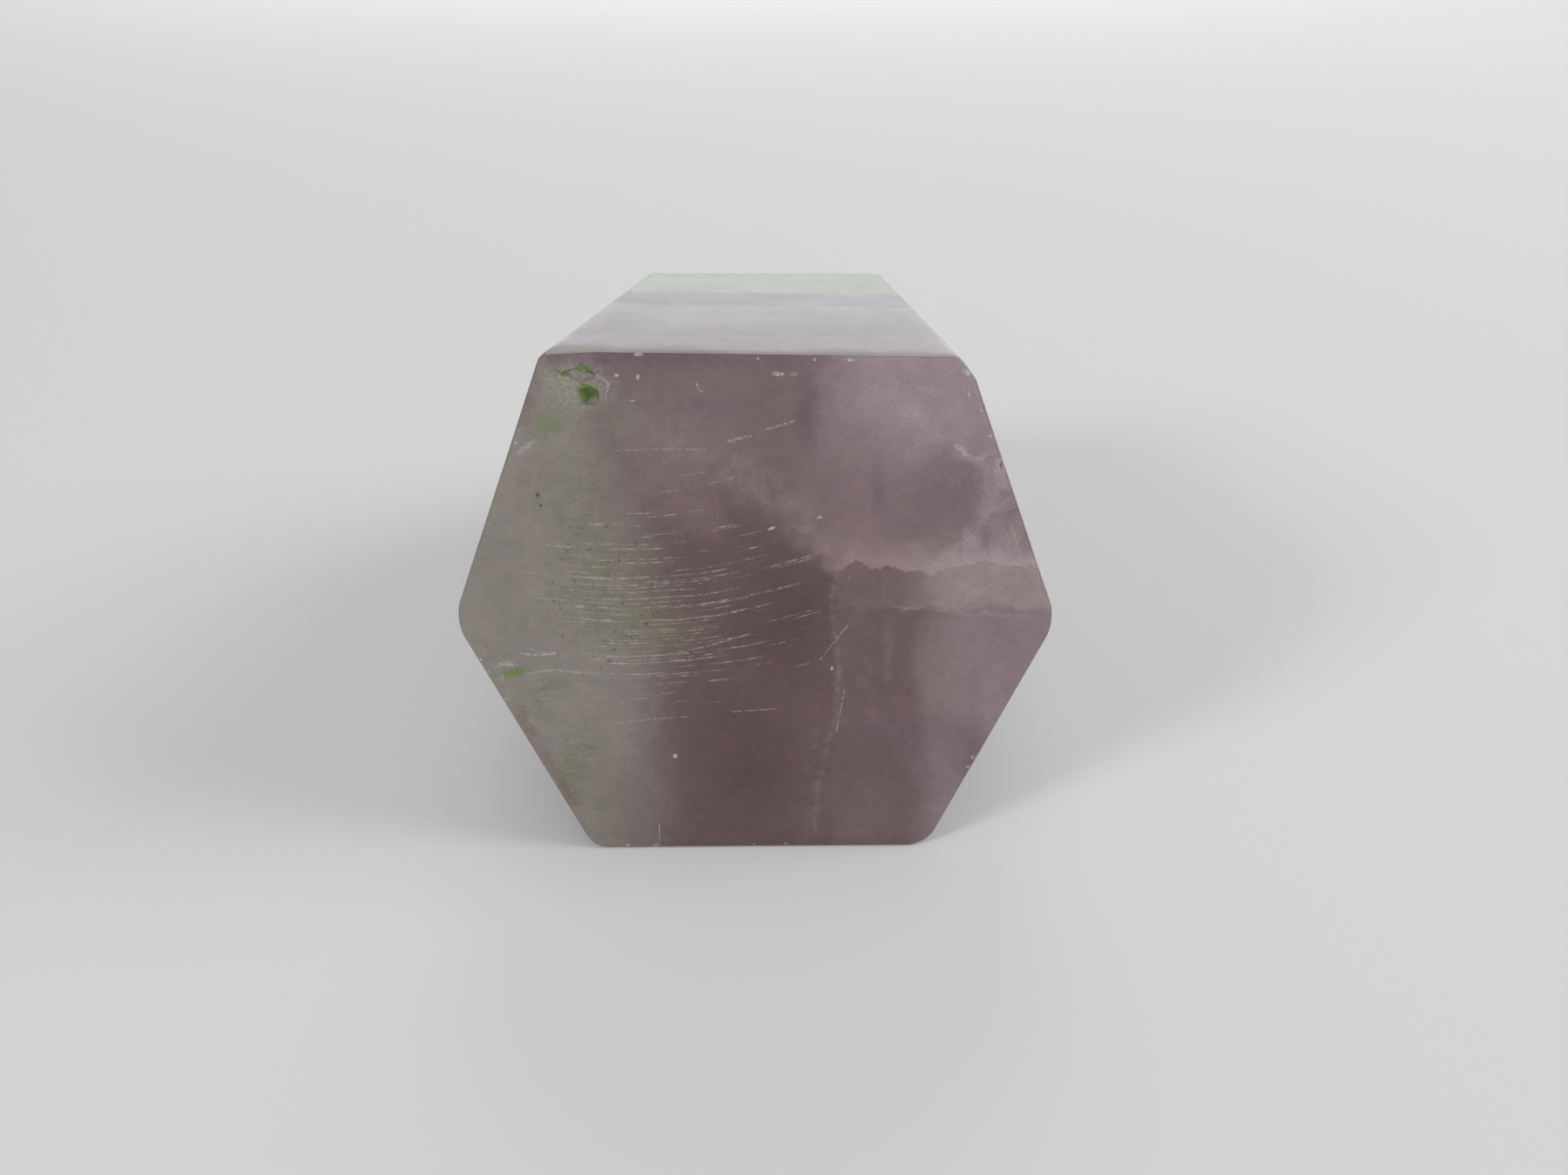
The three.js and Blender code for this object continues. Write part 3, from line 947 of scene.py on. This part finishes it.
# %% Group: zone colour
# Zones start at millimetres into the stone, tints at shares of the width from its left edge.
ZONES = [
    {"from": 0.0, "colour": (0.46, 0.425, 0.44, 1)},
    {"from": 5.2, "colour": (0.45, 0.415, 0.43, 1)},
    {"from": 6.2, "colour": (0.395, 0.365, 0.38, 1)},
    {"from": 9.0, "colour": (0.39, 0.37, 0.38, 1)},
    {"from": 10.5, "colour": (0.42, 0.39, 0.385, 1)},
    {"from": 16.5, "colour": (0.40, 0.375, 0.38, 1)},
    {"from": 18.5, "colour": (0.30, 0.285, 0.30, 1)},
    {"from": 22.5, "colour": (0.305, 0.295, 0.305, 1)},
    {"from": 24.2, "colour": (0.37, 0.425, 0.355, 1)},
    {"from": 37.0, "colour": (0.36, 0.43, 0.35, 1)},
    {"from": 39.5, "colour": (0.31, 0.27, 0.35, 1)},
    {"from": 42.0, "colour": (0.39, 0.46, 0.41, 1)},
    {"from": 56.0, "colour": (0.47, 0.53, 0.48, 1)},
]
ZONES_END = 56.0
FOOT_DEPTH = 3.0
SIDE_TINTS = [
    {"from": 0.25, "colour": (0.33, 0.33, 0.29, 1)},
    {"from": 0.42, "colour": (0.33, 0.28, 0.29, 1)},
    {"from": 0.62, "colour": (0.35, 0.30, 0.32, 1)},
    {"from": 0.8, "colour": (0.40, 0.35, 0.37, 1)},
]


def colour_ramp(tree, share, stops, end=1.0):
    """A colour that follows a share along a list of stops, given in the same unit as its end."""
    ramp = add_node(tree, "ShaderNodeValToRGB")
    while len(ramp.color_ramp.elements) < len(stops):
        ramp.color_ramp.elements.new(0.5)
    for element, stop in zip(ramp.color_ramp.elements, stops):
        element.position = stop["from"] / end
        element.color = stop["colour"]
    plug(tree, share, ramp.inputs[0])
    return ramp.outputs["Color"]


zone_group, group_in, group_out = new_group("zone_colour", {"Wandering": ORIGIN}, {"Colour": "Color"})
tree = zone_group
across, deep, _ = split_xyz(tree, group_in["Wandering"])
colour = colour_ramp(tree, maths(tree, "DIVIDE", deep, ZONES_END), ZONES, end=ZONES_END)
side_share = scaled(tree, across, MM / WIDTH, 0.5)
side_colour = colour_ramp(tree, side_share, SIDE_TINTS)
colour = mix_colour(tree, fade(tree, deep, 0.0, FOOT_DEPTH), side_colour, colour)
plug(tree, colour, group_out["Colour"])
print("group", zone_group.name)

# %% Group: cloudiness
SWIRLS = [
    {"scale": 0.24, "strength": 0.16},
    {"scale": 1.1, "strength": 0.16, "tinted": True},
    {"scale": 5.0, "strength": 0.12},
]
COOL_TINT = (0.95, 1.0, 1.03, 1)
WARM_TINT = (1.05, 0.99, 0.98, 1)

cloud_group, group_in, group_out = new_group(
    "cloudiness", {"Place": ORIGIN, "Colour": (1, 1, 1, 1), "Strength": 1.0}, {"Colour": "Color"}
)
tree = cloud_group
colour = group_in["Colour"]
for swirl in SWIRLS:
    cloudy = noise(tree, group_in["Place"], swirl["scale"], detail=2.0, roughness=0.6)
    change = times(tree, maths(tree, "SUBTRACT", cloudy, 0.5), 2 * swirl["strength"])
    gain = scaled(tree, change, group_in["Strength"], 1.0)
    if swirl.get("tinted"):
        tint = mix_colour(tree, cloudy, COOL_TINT, WARM_TINT)
        colour = mix_colour(tree, 1.0, colour, tint, blend="MULTIPLY")
    colour = mix_colour(tree, 1.0, colour, gain, blend="MULTIPLY")
plug(tree, colour, group_out["Colour"])
print("group", cloud_group.name)

# %% [markdown]
# ## Saw marks
#
# Before it was ground, the foot was cut with a round saw, and the grinding left broken pieces of
# the saw's tracks: short white dashes on arcs about one middle far above the foot. Drawing each
# dash would take hundreds of shapes. Instead the distance from that middle is cut into rows, each
# row gets one thin line at a random place in it, and noise along the row breaks it into dashes.

# %% Group: saw marks
# Lengths in millimetres. The stride keeps the noise of neighbouring rows apart.
SAW_DRIFT = 0.6
STRETCH_LENGTH = 4.5
DASH_LENGTH = 0.9
ROW_STRIDE = 7.3

saw_group, group_in, group_out = new_group(
    "saw_marks",
    {"Place": ORIGIN, "Middle": ORIGIN, "Spacing": 0.5, "Width": 0.07, "Plenty": 0.5},
    {"Mask": "Float"},
)
tree = saw_group
from_middle = vector_maths(tree, "SUBTRACT", group_in["Place"], group_in["Middle"])
from_middle = vector_maths(tree, "MULTIPLY", from_middle, (1, 0, 1))
drift = scaled(tree, noise(tree, group_in["Place"], 0.15, detail=1.0), SAW_DRIFT, -SAW_DRIFT / 2)
distance = maths(tree, "ADD", vector_maths(tree, "LENGTH", from_middle), drift)
rows = maths(tree, "DIVIDE", distance, group_in["Spacing"])
row = maths(tree, "FLOOR", rows)
row_dice = add_node(tree, "ShaderNodeTexWhiteNoise", noise_dimensions="1D")
plug(tree, row, row_dice.inputs["W"])
line_place = scaled(tree, row_dice.outputs["Value"], 0.6, 0.2)
line_gap = maths(tree, "ABSOLUTE", maths(tree, "SUBTRACT", maths(tree, "FRACT", rows), line_place))
line_gap = times(tree, line_gap, group_in["Spacing"])
across, _, up = split_xyz(tree, from_middle)
angle = maths(tree, "ARCTAN2", across, times(tree, up, -1.0))
along_row = times(tree, angle, distance)
row_apart = times(tree, row, ROW_STRIDE)
track = add_node(tree, "ShaderNodeCombineXYZ")
plug(tree, along_row, track.inputs["X"])
plug(tree, row_apart, track.inputs["Y"])
stretches = noise(tree, track.outputs[0], 1 / STRETCH_LENGTH, detail=1.0)
stretch_floor = scaled(tree, group_in["Plenty"], -0.3, 0.68)
shown = fade(tree, maths(tree, "SUBTRACT", stretches, stretch_floor), 0.0, 0.1)
dashes = noise(tree, track.outputs[0], 1 / DASH_LENGTH, detail=3.0, roughness=0.75)
own_width = times(tree, group_in["Width"], scaled(tree, dashes, 1.4, 0.3))
line = fade(tree, line_gap, own_width, 0.0)
line = times(tree, line, scaled(tree, fade(tree, dashes, 0.42, 0.6), 0.85, 0.15))
plug(tree, times(tree, line, shown), group_out["Mask"])
print("group", saw_group.name, "with", len(tree.nodes), "nodes")

# %% Group: specks
# Round specks or pits, one in some of the cells of a random pattern.
speck_group, group_in, group_out = new_group(
    "specks",
    {"Place": ORIGIN, "Spacing": 1.0, "Size": 0.1, "Plenty": 0.3},
    {"Mask": "Float"},
)
tree = speck_group
cells_per_mm = maths(tree, "DIVIDE", 1.0, group_in["Spacing"])
cells = add_node(tree, "ShaderNodeTexVoronoi")
plug(tree, group_in["Place"], cells.inputs["Vector"])
plug(tree, cells_per_mm, cells.inputs["Scale"])
speck_gap = times(tree, cells.outputs["Distance"], group_in["Spacing"])
choice_dice, size_dice, _ = split_xyz(tree, cells.outputs["Color"])
speck_size = times(tree, group_in["Size"], scaled(tree, size_dice, 0.8, 0.4))
speck = fade(tree, speck_gap, speck_size, times(tree, speck_size, 0.4))
chosen = maths(tree, "LESS_THAN", choice_dice, group_in["Plenty"])
plug(tree, times(tree, speck, chosen), group_out["Mask"])
print("group", speck_group.name)

# %% [markdown]
# ## The ground foot
#
# The foot is ground and hardly polished: satin, with a fine grain, the saw marks, tiny white pits,
# dark pits whose darkness is painted shade, a few longer scratches and a frosted patch round the
# green crystals. Most of these are breaks in the surface, so they change both its colour and its
# roughness. The grain and the saw marks also change its height, a little, which is enough to break
# up the gloss. The eased rim is darker where it turns away from the foot: a fine line round the foot.

# %% Where the marks are
# In millimetres, as for the clouds. Depth is how far a spot reaches into the stone.
SAW_MIDDLE = (-8.0, 0, 56.0)
SAWN_AREA = {"at": (-4.6, 19.4), "size": (12.0, 11.5), "depth": 30}
SAWN_CORE = {"at": (-6.0, 18.9), "size": (9.5, 8.5), "depth": 30, "fade": 0.9}
PITTED_AREA = {"at": (-9.0, 20.0), "size": (5.5, 8.0), "depth": 30, "fade": 0.9}
FROSTED_AREA = {"at": (-9.9, 33.3), "size": (2.9, 2.0), "depth": 3, "fade": 0.7}
GREEN_SPOTS = [
    {"at": (-9.3, 32.85), "size": (0.75, 0.8), "depth": 2, "turn": 20, "fade": 0.6},
    {"at": (-10.6, 34.05), "size": (0.5, 0.22), "depth": 2, "turn": -35, "fade": 0.8},
    {"at": (-9.45, 34.3), "size": (0.55, 0.26), "depth": 2, "turn": 35, "fade": 0.8},
]
OLIVE_ARCS = [
    {"path": [(-11.0, 34.3), (-10.5, 34.1), (-10.3, 33.75)], "width": 0.14},
    {"path": [(-9.9, 34.3), (-9.6, 34.6), (-9.2, 34.4), (-8.95, 34.05)], "width": 0.16},
    {"path": [(-9.6, 33.4), (-9.1, 33.3), (-8.8, 32.8)], "width": 0.12},
]
SCRATCHES = [
    {"path": [(-1.3, 29.9), (-0.1, 30.2)], "width": 0.16, "strength": 0.6},
    {"path": [(0.9, 30.6), (2.5, 31.1)], "width": 0.13, "strength": 0.5},
    {"path": [(-5.4, 15.6), (-3.2, 16.1), (-0.4, 17.0)], "width": 0.09, "strength": 0.5},
    {"path": [(4.1, 15.1), (5.9, 17.7)], "width": 0.07, "strength": 0.6},
    {"path": [(5.2, 9.6), (5.7, 12.8)], "width": 0.07, "strength": 0.6},
    {"path": [(-6.86, 2.2), (-6.96, 0.3)], "width": 0.07, "strength": 0.6},
    {"path": [(15.5, 24.5), (16.6, 21.6)], "width": 0.07, "strength": 0.5},
    {"path": [(-3.1, 33.4), (-2.9, 33.0), (-2.7, 32.9)], "width": 0.1, "strength": 0.7},
    {"path": [(-15.0, 15.7), (-13.9, 15.6), (-12.8, 15.7)], "width": 0.14, "strength": 0.75},
    {"path": [(-16.3, 14.95), (-15.3, 14.85)], "width": 0.14, "strength": 0.7},
    {"path": [(-14.8, 14.2), (-13.0, 14.5), (-10.9, 14.2)], "width": 0.12, "strength": 0.55},
    {"path": [(-14.1, 12.2), (-13.1, 12.4)], "width": 0.08, "strength": 0.35},
    {"path": [(-8.0, 29.35), (-5.4, 29.45), (-2.5, 29.4)], "width": 0.08, "strength": 0.35},
    {"path": [(-9.6, 10.3), (-6.6, 10.7), (-4.2, 10.85)], "width": 0.08, "strength": 0.4},
    {"path": [(-1.7, 11.2), (1.4, 11.4)], "width": 0.07, "strength": 0.5},
    {"path": [(-8.6, 33.9), (-8.1, 33.4), (-8.3, 32.7)], "width": 0.13, "strength": 0.6},
    {"path": [(12.45, 33.0), (12.55, 32.4)], "width": 0.12, "strength": 0.7},
    {"path": [(11.6, 34.9), (12.4, 34.5), (12.8, 34.0)], "width": 0.12, "strength": 0.7},
]
WHITE_SPECKS = [
    {"at": (-5.52, 7.73), "size": (0.19, 0.22)},
    {"at": (4.85, 14.42), "size": (0.13, 0.17)},
    {"at": (1.1, 24.3), "size": (0.3, 0.12), "turn": 20},
    {"at": (4.0, 25.0), "size": (0.2, 0.1), "turn": 15},
    {"at": (-7.6, 33.9), "size": (0.16, 0.12)},
    {"at": (-6.4, 33.8), "size": (0.12, 0.22), "turn": -20},
    {"at": (-6.8, 32.4), "size": (0.16, 0.06)},
]
DARK_SPECKS = [{"at": (-12.81, 26.61), "size": (0.15, 0.2)}, {"at": (-12.7, 25.9), "size": (0.12, 0.14)}]

# %% Marks on the ground foot
tree = ground_fluorite.node_tree
places = use_group(tree, place_group)
foot_place = places["Place"]
ragged = places["Ragged"]

left_of_crack = fade(tree, split_xyz(tree, ragged)["X"], 5.4, 3.6)
sawn_area = times(tree, spot_mask(tree, ragged, SAWN_AREA), left_of_crack)
sawn_core = spot_mask(tree, ragged, SAWN_CORE)
plenty = scaled(tree, sawn_core, 0.6, times(tree, sawn_area, 0.4))
saw = {"Place": foot_place, "Middle": SAW_MIDDLE, "Plenty": plenty}
strong_marks = use_group(tree, saw_group, Spacing=0.8, Width=0.085, **saw)["Mask"]
faint_marks = use_group(tree, saw_group, Spacing=0.37, Width=0.07, **saw)["Mask"]
saw_marks = highest(tree, [times(tree, strong_marks, 0.65), times(tree, faint_marks, 0.5)])
saw_marks = times(tree, saw_marks, fade(tree, sawn_area, 0.02, 0.25))

broken = fade(tree, noise(tree, foot_place, 2.6, detail=3.0, roughness=0.75), 0.38, 0.6)
dotted = fade(tree, noise(tree, foot_place, 4.0, detail=2.0, roughness=0.75), 0.42, 0.56)
broken_marks = times(tree, saw_marks, scaled(tree, dotted, 0.55, 0.45))
scratches = highest(tree, (scratch_mask(tree, foot_place, scratch) for scratch in SCRATCHES))
scratches = times(tree, scratches, dotted)
white_specks = highest(tree, (spot_mask(tree, foot_place, speck) for speck in WHITE_SPECKS))
fine_specks = use_group(tree, speck_group, Place=ragged, Spacing=1.1, Size=0.08, Plenty=0.3)["Mask"]
specks = highest(tree, [times(tree, white_specks, 0.8), times(tree, fine_specks, 0.4)])
white_marks = highest(tree, [broken_marks, scratches, specks])

# Painted shade: the small pits of the pitted area and the two dark specks are painted near black, for the
# shade that falls in them.
pitted = spot_mask(tree, ragged, PITTED_AREA)
small_pits = use_group(tree, speck_group, Place=foot_place, Spacing=0.36, Size=0.15, Plenty=0.45)["Mask"]
shaded_pits = times(tree, small_pits, fade(tree, pitted, 0.05, 0.5), broken)
dark_specks = highest(tree, (spot_mask(tree, foot_place, speck) for speck in DARK_SPECKS))
shaded_pits = highest(tree, [shaded_pits, dark_specks])

# %% The ground foot's finish
# The near-black colour of the painted shade in the pits.
PIT_SHADE = (0.05, 0.045, 0.04, 1)
RIM_BRIGHTNESS = 0.72
RIM_TO_FOOT = (0.93, 0.985)
GRAIN_CONTRAST = 0.44
SATIN = 0.34
shader = tree.nodes["Principled BSDF"]
colour = use_group(tree, foot_group, Ragged=ragged, Wandering=places["Wandering"])["Colour"]
colour = use_group(tree, cloud_group, Place=places["Wandering"], Colour=colour)["Colour"]
grain = noise(tree, foot_place, 7.0, detail=2.0, roughness=0.7)
frosted = spot_mask(tree, ragged, FROSTED_AREA)
frosted = times(tree, frosted, scaled(tree, broken, 0.7, 0.3))
frost_grains = times(tree, frosted, fade(tree, grain, 0.5, 0.68))
colour = paint_over(tree, colour, FROST, 0.5, frosted)
colour = paint_over(tree, colour, WHITE, 0.4, frost_grains)
green_spots = highest(tree, (spot_mask(tree, ragged, spot) for spot in GREEN_SPOTS))
colour = paint_over(tree, colour, LEAF, 0.9, green_spots)
olive_arcs = highest(tree, (path_mask(tree, ragged, **arc) for arc in OLIVE_ARCS))
colour = paint_over(tree, colour, DARK_OLIVE, 0.75, olive_arcs, scaled(tree, broken, 0.6, 0.4))
# Painted shade in the pits.
colour = paint_over(tree, colour, PIT_SHADE, 0.7, shaded_pits)
colour = mix_colour(tree, white_marks, colour, WHITE)
grain_gain = scaled(tree, grain, GRAIN_CONTRAST, 1 - GRAIN_CONTRAST / 2)
facing = add_node(tree, "ShaderNodeTexCoord").outputs["Normal"]
facing = vector_maths(tree, "DOT_PRODUCT", facing, tuple(foot_out))
rim_gain = scaled(tree, fade(tree, facing, *RIM_TO_FOOT), 1 - RIM_BRIGHTNESS, RIM_BRIGHTNESS)
gain = times(tree, grain_gain, rim_gain)
plug(tree, mix_colour(tree, 1.0, colour, gain, blend="MULTIPLY"), shader.inputs["Base Color"])

roughness = scaled(tree, grain, 0.2, SATIN)
roughness = scaled(tree, frosted, 0.2, roughness)
roughness = highest(tree, [roughness, times(tree, white_marks, 0.8)])
plug(tree, roughness, shader.inputs["Roughness"])

height = scaled(tree, saw_marks, -0.6, times(tree, grain, 0.4))
add_bump(tree, height, strength=0.6, distance=0.03 * MM)
print(ground_fluorite.name, "with", len(tree.nodes), "nodes")

# %% [markdown]
# ## The polished sides and the breaks
#
# The polished sides take the zone colours. Their gloss has faint smears and fine pits. A fresh
# break is pale, bright on some of its facets and grey on others.

# %% The polished finish
POLISHED = 0.08
SMEARED = 0.14
tree = polished_fluorite.node_tree
shader = tree.nodes["Principled BSDF"]
places = use_group(tree, place_group)
colour = use_group(tree, zone_group, Wandering=places["Wandering"])["Colour"]
colour = use_group(tree, cloud_group, Place=places["Wandering"], Colour=colour)["Colour"]
plug(tree, colour, shader.inputs["Base Color"])
smears = noise(tree, places["Wandering"], 0.35, detail=3.0, roughness=0.6)
fine_pits = use_group(tree, speck_group, Place=places["Place"], Spacing=1.6, Size=0.06, Plenty=0.3)["Mask"]
roughness = scaled(tree, smears, SMEARED, POLISHED)
roughness = scaled(tree, fine_pits, 0.4, roughness)
plug(tree, roughness, shader.inputs["Roughness"])
add_bump(tree, maths(tree, "SUBTRACT", 1.0, fine_pits), strength=0.5, distance=0.02 * MM)
print(polished_fluorite.name, "with", len(tree.nodes), "nodes")

# %% The breaks
tree = chipped_fluorite.node_tree
shader = tree.nodes["Principled BSDF"]
places = use_group(tree, place_group)
flecks = noise(tree, places["Place"], 2.4, detail=3.0, roughness=0.75)
colour = mix_colour(tree, fade(tree, flecks, 0.36, 0.46), PALE_GREY, body(148, 139, 136))
colour = mix_colour(tree, fade(tree, flecks, 0.5, 0.62), colour, WHITE)
plug(tree, colour, shader.inputs["Base Color"])
plug(tree, scaled(tree, flecks, 0.3, 0.3), shader.inputs["Roughness"])
facets = noise(tree, places["Place"], 6.0, detail=2.0, roughness=0.7)
add_bump(tree, facets, strength=0.5, distance=0.03 * MM)
print(chipped_fluorite.name, "with", len(tree.nodes), "nodes")

# %% What all three have in common
FLUORITE_IOR = 1.434
SCATTER_SHARE = 0.2
SCATTER_COLOUR = (1.0, 0.85, 0.9)
SCATTER_REACH = 0.8 * MM
for paint in finishes:
    shader = paint.node_tree.nodes["Principled BSDF"]
    shader.inputs["IOR"].default_value = FLUORITE_IOR
    shader.inputs["Subsurface Weight"].default_value = SCATTER_SHARE
    shader.inputs["Subsurface Radius"].default_value = SCATTER_COLOUR
    shader.inputs["Subsurface Scale"].default_value = SCATTER_REACH

# %% The end
stone.data.transform(Matrix.Translation(foot_bottom))
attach(stone, "root")
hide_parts("fluorite_tower")
